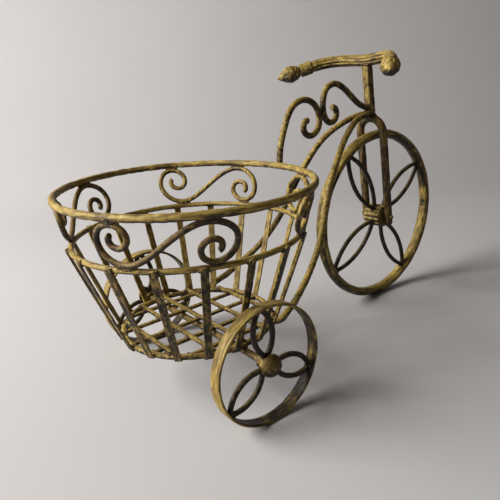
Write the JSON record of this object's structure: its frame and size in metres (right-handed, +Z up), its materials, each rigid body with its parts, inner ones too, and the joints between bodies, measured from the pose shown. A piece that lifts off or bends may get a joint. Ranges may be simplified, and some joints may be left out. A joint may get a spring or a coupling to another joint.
{
  "type": "decorative tricycle planter",
  "caption": "Wrought-iron planter shaped like a tricycle: an oval slatted basket with scrollwork between small rear wheels, a large turning front wheel and a bow handlebar.",
  "frame": {"origin": "on the ground, at the bottom centre of the overall box", "axes": "+X forward, towards the large front wheel; +Y to the left; +Z up"},
  "size_m": [0.422, 0.224, 0.2543],
  "materials": {
    "worn_paint": "matt ochre-yellow paint, rubbed through to near-black iron on edges and hammered spots",
    "dark_patina": "near-black brown iron with a little ochre paint brushed over it"
  },
  "bodies": {
    "frame": {"fork": "worn_paint", "stem": "worn_paint", "handlebar": "worn_paint", "finial_left": "worn_paint", "finial_right": "worn_paint", "grip_collar_left": "worn_paint", "grip_collar_right": "worn_paint", "front_axle": "worn_paint", "rear_axle": "worn_paint", "rear_cap_left": "worn_paint", "rear_cap_right": "worn_paint", "rear_collar_left": "worn_paint", "rear_collar_right": "worn_paint", "frame_rod_left": "worn_paint", "frame_rod_right": "worn_paint", "seat_scroll_front": "worn_paint", "seat_scroll_rear": "worn_paint", "basket_top_ring": "worn_paint", "basket_hoop": "worn_paint", "basket_floor_ring": "worn_paint", "floor_long_bars": "worn_paint", "floor_cross_bars": "worn_paint", "basket_scroll_front_left": "worn_paint", "basket_scroll_front_right": "worn_paint", "basket_scroll_rear_left": "worn_paint", "basket_scroll_rear_right": "worn_paint", "basket_slat_01": "worn_paint", "basket_slat_02": "worn_paint", "basket_slat_03": "worn_paint", "basket_slat_04": "worn_paint", "basket_slat_05": "worn_paint", "basket_slat_06": "worn_paint", "basket_slat_07": "worn_paint", "basket_slat_08": "worn_paint", "basket_slat_09": "worn_paint", "basket_slat_10": "worn_paint", "basket_slat_11": "worn_paint", "basket_slat_12": "worn_paint", "basket_slat_13": "worn_paint", "basket_slat_14": "worn_paint", "basket_slat_15": "worn_paint", "basket_slat_16": "worn_paint", "basket_slat_17": "worn_paint", "basket_slat_18": "worn_paint"},
    "front_wheel": {"front_rim": "worn_paint", "front_hub": "worn_paint", "front_petal_1": "dark_patina", "front_petal_2": "dark_patina", "front_petal_3": "dark_patina", "front_petal_4": "dark_patina"},
    "rear_wheel_left": {"rear_rim_left": "worn_paint", "rear_hub_left": "worn_paint", "rear_petal_left_1": "dark_patina", "rear_petal_left_2": "dark_patina", "rear_petal_left_3": "dark_patina"},
    "rear_wheel_right": {"rear_rim_right": "worn_paint", "rear_hub_right": "worn_paint", "rear_petal_right_1": "dark_patina", "rear_petal_right_2": "dark_patina", "rear_petal_right_3": "dark_patina"}
  },
  "joints": [
    {"name": "front_wheel_spin", "type": "hinge", "parent": "frame", "child": "front_wheel", "pos_m": [0.121, 0, 0.09], "axis": [0, 1, 0], "continuous": true},
    {"name": "rear_wheel_left_spin", "type": "hinge", "parent": "frame", "child": "rear_wheel_left", "pos_m": [-0.114, 0.08961, 0.046], "axis": [0, 1, 0], "continuous": true},
    {"name": "rear_wheel_right_spin", "type": "hinge", "parent": "frame", "child": "rear_wheel_right", "pos_m": [-0.114, -0.08961, 0.046], "axis": [0, 1, 0], "continuous": true}
  ]
}
